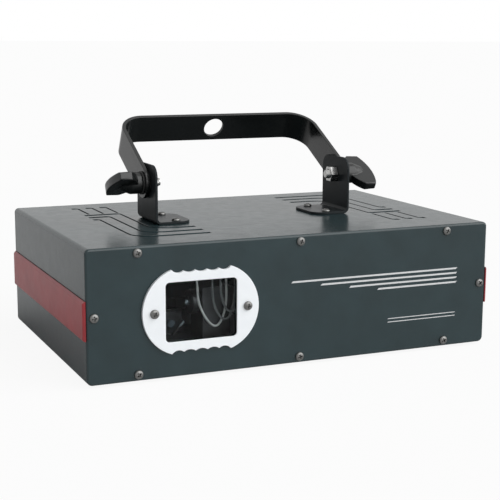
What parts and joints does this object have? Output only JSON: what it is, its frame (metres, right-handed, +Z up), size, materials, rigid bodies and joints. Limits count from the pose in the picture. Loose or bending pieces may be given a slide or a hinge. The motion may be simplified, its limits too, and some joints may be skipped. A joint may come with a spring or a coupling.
{
  "type": "laser show projector",
  "caption": "Flat box-shaped laser light projector with a framed beam window, vented top, tilting yoke held by wing knobs, and rear sockets, fan and menu display.",
  "frame": {"origin": "centre of the bounding box's bottom face, on the ground under the feet", "axes": "+X along the width, to the right as seen from the front; +Y to the rear; +Z up"},
  "size_m": [0.2736, 0.1898, 0.1465],
  "materials": {
    "housing_paint": "satin dark grey powder coat",
    "trim_red": "satin dark red",
    "bezel_white": "satin white",
    "window": "clear flat glass",
    "screw_steel": "zinc plated",
    "yoke_black": "satin black powder coat",
    "knob_black": "moulded satin black",
    "steel": "bare steel",
    "washer_fibre": "matt fibre",
    "socket_black": "moulded matt black",
    "socket_metal": "cast, nickel look",
    "contacts": "plated",
    "display_red": "smoked red window",
    "button_black": "moulded",
    "board_green": "lacquered circuit board",
    "guard_chrome": "plated wire",
    "bench_aluminium": "milled",
    "motor_dark": "anodised",
    "laser_brass": "turned",
    "mirror_glass": "first-surface mirror",
    "foot_rubber": "matt",
    "cable_grey": "insulated wire"
  },
  "bodies": {
    "housing": {"top_cover": "housing_paint", "base_plate": "housing_paint", "front_panel": "housing_paint", "rear_panel": "housing_paint", "side_trim_left": "trim_red", "side_trim_right": "trim_red", "bezel": "bezel_white", "window_glass": "window", "front_panel_screws": "screw_steel", "rear_screws": "screw_steel", "base_screws": "screw_steel", "bezel_screws": "screw_steel", "bracket_screws": "screw_steel", "bracket_left": "yoke_black", "bracket_right": "yoke_black", "pivot_nuts": "steel", "standoffs": "steel", "friction_washers": "washer_fibre", "power_inlet": "socket_black", "switch_body": "socket_black", "dmx_out_insert": "socket_black", "fan_frame": "socket_black", "microphone": "socket_black", "sensitivity_pot": "socket_black", "dmx_in_socket": "socket_metal", "dmx_out_socket": "socket_metal", "inlet_blades": "contacts", "dmx_in_pins": "contacts", "display_module": "display_red", "display_board": "board_green", "control_board": "board_green", "power_board": "board_green", "fan_guard": "guard_chrome", "optical_bench": "bench_aluminium", "laser_clamps": "bench_aluminium", "scan_motor_low": "motor_dark", "scan_motor_high": "motor_dark", "scan_holder": "motor_dark", "laser_module_side": "laser_brass", "laser_module_rear": "laser_brass", "dichroic_mirror": "mirror_glass", "feet": "foot_rubber", "scan_cables": "cable_grey"},
    "yoke_arm": {"yoke": "yoke_black"},
    "wing_knob_left": {"knob_left": "knob_black", "stud_left": "steel", "clamp_washer_left": "steel"},
    "wing_knob_right": {"knob_right": "knob_black", "stud_right": "steel", "clamp_washer_right": "steel"},
    "scanner_low": {"scan_mirror_low": "mirror_glass"},
    "scanner_high": {"scan_mirror_high": "mirror_glass"},
    "fan": {"fan_rotor": "socket_black"},
    "rocker": {"switch_rocker": "socket_black"},
    "sensitivity": {"sensitivity_knob": "knob_black"},
    "fuse_tray": {"fuse_drawer": "socket_black"},
    "button_1": {"menu_button_1": "button_black"},
    "button_2": {"menu_button_2": "button_black"},
    "button_3": {"menu_button_3": "button_black"},
    "button_4": {"menu_button_4": "button_black"}
  },
  "joints": [
    {"name": "yoke_tilt", "type": "hinge", "parent": "housing", "child": "yoke_arm", "pos_m": [0, -0.00555, 0.1072], "axis": [1, 0, 0], "range_deg": [-36, 160]},
    {"name": "knob_left_turn", "type": "hinge", "parent": "housing", "child": "wing_knob_left", "pos_m": [-0.0733, -0.00555, 0.1072], "axis": [-1, 0, 0], "range_deg": [0, 360]},
    {"name": "knob_right_turn", "type": "hinge", "parent": "housing", "child": "wing_knob_right", "pos_m": [0.0733, -0.00555, 0.1072], "axis": [1, 0, 0], "range_deg": [0, 360]},
    {"name": "scan_low_swing", "type": "hinge", "parent": "housing", "child": "scanner_low", "pos_m": [-0.07325, -0.06905, 0.027], "axis": [0, 1, 0], "range_deg": [-12, 12]},
    {"name": "scan_high_swing", "type": "hinge", "parent": "housing", "child": "scanner_high", "pos_m": [-0.07325, -0.06905, 0.0417], "axis": [1, 0, 0], "range_deg": [-12, 12]},
    {"name": "fan_spin", "type": "hinge", "parent": "housing", "child": "fan", "pos_m": [-0.1045, 0.07745, 0.042], "axis": [0, 1, 0], "continuous": true},
    {"name": "power_switch", "type": "hinge", "parent": "housing", "child": "rocker", "pos_m": [0.07733, 0.08395, 0.042], "axis": [1, 0, 0], "range_deg": [0, 16]},
    {"name": "sensitivity_turn", "type": "hinge", "parent": "housing", "child": "sensitivity", "pos_m": [-0.06983, 0.08395, 0.034], "axis": [0, 1, 0], "range_deg": [-150, 150]},
    {"name": "fuse_drawer_slide", "type": "slide", "parent": "housing", "child": "fuse_tray", "axis": [0, 1, 0], "range_m": [0, 0.012]},
    {"name": "button_1_press", "type": "slide", "parent": "housing", "child": "button_1", "axis": [0, -1, 0], "range_m": [0, 0.0008], "stiffness_N_per_m": 600},
    {"name": "button_2_press", "type": "slide", "parent": "housing", "child": "button_2", "axis": [0, -1, 0], "range_m": [0, 0.0008], "stiffness_N_per_m": 600},
    {"name": "button_3_press", "type": "slide", "parent": "housing", "child": "button_3", "axis": [0, -1, 0], "range_m": [0, 0.0008], "stiffness_N_per_m": 600},
    {"name": "button_4_press", "type": "slide", "parent": "housing", "child": "button_4", "axis": [0, -1, 0], "range_m": [0, 0.0008], "stiffness_N_per_m": 600}
  ]
}
